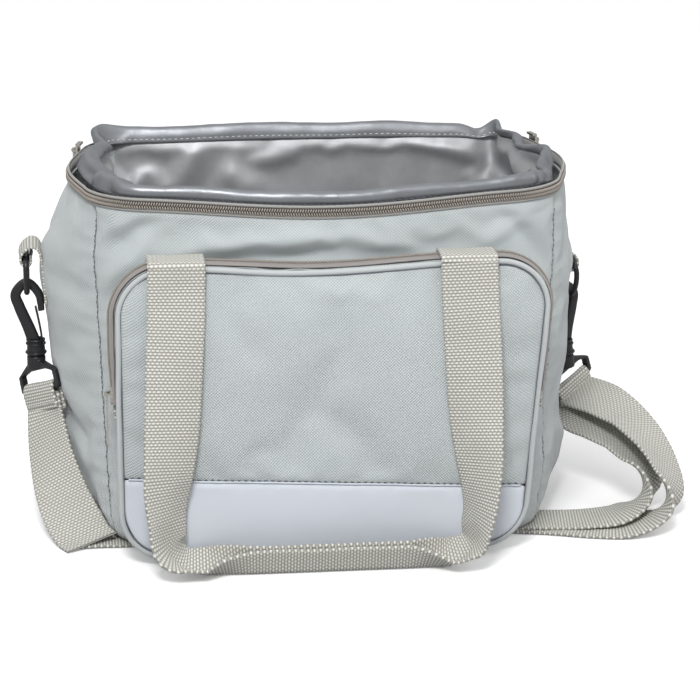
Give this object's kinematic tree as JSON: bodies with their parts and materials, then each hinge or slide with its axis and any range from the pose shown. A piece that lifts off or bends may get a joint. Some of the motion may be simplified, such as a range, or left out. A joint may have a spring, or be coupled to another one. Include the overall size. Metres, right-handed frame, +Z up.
{
  "type": "insulated cooler bag",
  "caption": "Soft-sided insulated cooler bag, lid folded open at the back, with silver lining, zipped front pocket, carry handles and a clip-on shoulder strap.",
  "frame": {"origin": "centre of the flat underside of the base, on the ground", "axes": "+X to the right of the pocket side, +Y to the back where the lid is hinged, +Z up"},
  "size_m": [0.4693, 0.2946, 0.2575],
  "materials": {
    "outer_fabric": "light blue-grey woven polyester with a fine diagonal weave",
    "smooth_fabric": "smooth, slightly bluer woven polyester",
    "foam": "closed-cell insulation foam, hidden",
    "lining": "shiny silver coated lining film",
    "zipper_tape": "taupe woven zip tape",
    "zipper_coil": "taupe nylon zip coil",
    "webbing": "beige polypropylene webbing with a diamond weave",
    "piping": "light grey piping",
    "black_plastic": "black moulded plastic, satin",
    "nickel": "dark nickel plated metal"
  },
  "bodies": {
    "bag": {"outer_front_panel": "outer_fabric", "outer_right_panel": "outer_fabric", "outer_back_panel": "outer_fabric", "outer_left_panel": "outer_fabric", "outer_bottom_panel": "outer_fabric", "pocket_face": "outer_fabric", "pocket_gusset": "outer_fabric", "pocket_lower_band": "smooth_fabric", "foam_front": "foam", "foam_right": "foam", "foam_back": "foam", "foam_left": "foam", "foam_bottom": "foam", "lining": "lining", "rim_hem": "lining", "zipper_tape_body": "zipper_tape", "pocket_zipper_tape": "zipper_tape", "zipper_coil_body": "zipper_coil", "pocket_zipper_coil": "zipper_coil", "front_handle_anchor_left": "webbing", "front_handle_anchor_right": "webbing", "rear_handle_anchor_left": "webbing", "rear_handle_anchor_right": "webbing", "left_ring_tab": "webbing", "right_ring_tab": "webbing", "shoulder_strap": "webbing", "pocket_zip_end_left": "webbing", "pocket_zip_end_right": "webbing", "pocket_piping": "piping", "strap_adjuster": "black_plastic"},
    "lid_rear_wall": {"lid_rear_wall": "outer_fabric"},
    "lid": {"lid_outer_panel": "outer_fabric", "lid_foam": "foam", "lid_lining": "lining", "zipper_tape_lid": "zipper_tape", "zipper_coil_lid": "zipper_coil"},
    "front_handle": {"front_handle": "webbing"},
    "rear_handle": {"rear_handle": "webbing"},
    "pocket_slider": {"pocket_slider": "nickel"},
    "pocket_pull": {"pocket_pull": "nickel"},
    "main_slider_left": {"main_slider_left": "nickel"},
    "main_pull_left": {"main_pull_left": "nickel"},
    "left_ring": {"left_d_ring": "black_plastic"},
    "left_base": {"left_swivel_base": "black_plastic"},
    "left_hook": {"left_hook": "black_plastic"},
    "left_gate": {"left_gate": "black_plastic"},
    "main_slider_right": {"main_slider_right": "nickel"},
    "main_pull_right": {"main_pull_right": "nickel"},
    "right_ring": {"right_d_ring": "black_plastic"},
    "right_base": {"right_swivel_base": "black_plastic"},
    "right_hook": {"right_hook": "black_plastic"},
    "right_gate": {"right_gate": "black_plastic"}
  },
  "joints": [
    {"name": "lid_wall_fold", "type": "hinge", "parent": "bag", "child": "lid_rear_wall", "pos_m": [0, 0.103, 0.2425], "axis": [1, 0, 0], "range_deg": [0, 172]},
    {"name": "lid_fold", "type": "hinge", "parent": "lid_rear_wall", "child": "lid", "pos_m": [0, 0.10622, 0.21962], "axis": [1, 0, 0], "range_deg": [0, 94]},
    {"name": "front_handle_lift", "type": "hinge", "parent": "bag", "child": "front_handle", "pos_m": [0, -0.1296, 0.2112], "axis": [-1, 0, 0], "range_deg": [0, 170]},
    {"name": "rear_handle_lift", "type": "hinge", "parent": "bag", "child": "rear_handle", "pos_m": [0, 0.1034, 0.2086], "axis": [1, 0, 0], "range_deg": [0, 170]},
    {"name": "pocket_slide", "type": "slide", "parent": "bag", "child": "pocket_slider", "axis": [0, 0, 1], "range_m": [0, 0.045]},
    {"name": "pocket_pull_swing", "type": "hinge", "parent": "pocket_slider", "child": "pocket_pull", "pos_m": [-0.151, -0.114, 0.12], "axis": [0, 1, 0], "range_deg": [0, 80]},
    {"name": "main_slider_left_slide", "type": "slide", "parent": "bag", "child": "main_slider_left", "axis": [-0.2136, -0.9769, 0], "range_m": [0, 0.04]},
    {"name": "main_pull_left_swing", "type": "hinge", "parent": "main_slider_left", "child": "main_pull_left", "pos_m": [-0.16694, 0.0632, 0.2487], "axis": [0.2136, 0.9769, 0], "range_deg": [0, 80]},
    {"name": "left_clip_swing", "type": "hinge", "parent": "bag", "child": "left_base", "pos_m": [-0.20285, 0, 0.18748], "axis": [0, 1, 0], "range_deg": [0, 24], "deforming": ["shoulder_strap"]},
    {"name": "left_ring_swing", "type": "hinge", "parent": "bag", "child": "left_ring", "pos_m": [-0.20285, 0, 0.18748], "axis": [0, 1, 0], "range_deg": [0, 24]},
    {"name": "left_hook_swivel", "type": "hinge", "parent": "left_base", "child": "left_hook", "pos_m": [-0.19785, 0, 0.11548], "axis": [0, 0, 1], "range_deg": [-10, 10]},
    {"name": "left_gate_press", "type": "hinge", "parent": "left_hook", "child": "left_gate", "pos_m": [-0.19345, 0, 0.12548], "axis": [0, -1, 0], "range_deg": [0, 13]},
    {"name": "main_slider_right_slide", "type": "slide", "parent": "bag", "child": "main_slider_right", "axis": [0.2405, -0.9706, 0], "range_m": [0, 0.04]},
    {"name": "main_pull_right_swing", "type": "hinge", "parent": "main_slider_right", "child": "main_pull_right", "pos_m": [0.1675, 0.06335, 0.2487], "axis": [0.2405, -0.9706, 0], "range_deg": [0, 80]},
    {"name": "right_clip_swing", "type": "hinge", "parent": "bag", "child": "right_base", "pos_m": [0.18398, 0.03976, 0.164], "axis": [0.3301, -0.9439, 0], "range_deg": [0, 24], "deforming": ["shoulder_strap"]},
    {"name": "right_ring_swing", "type": "hinge", "parent": "bag", "child": "right_ring", "pos_m": [0.18398, 0.03976, 0.164], "axis": [0.3301, -0.9439, 0], "range_deg": [0, 24]},
    {"name": "right_hook_swivel", "type": "hinge", "parent": "right_base", "child": "right_hook", "pos_m": [0.18757, 0.04102, 0.09193], "axis": [-0.115, -0.0402, 0.9925], "range_deg": [-20, 0]},
    {"name": "right_gate_press", "type": "hinge", "parent": "right_hook", "child": "right_gate", "pos_m": [0.18274, 0.03827, 0.10133], "axis": [-0.5324, 0.8461, -0.0274], "range_deg": [0, 13]}
  ],
  "couplings": [
    {"joint": "lid_fold", "follows": "lid_wall_fold", "ratio": 0.54651},
    {"joint": "rear_handle_lift", "follows": "lid_wall_fold", "ratio": 0.98837},
    {"joint": "left_ring_swing", "follows": "left_clip_swing", "ratio": 1},
    {"joint": "right_ring_swing", "follows": "right_clip_swing", "ratio": 1}
  ]
}
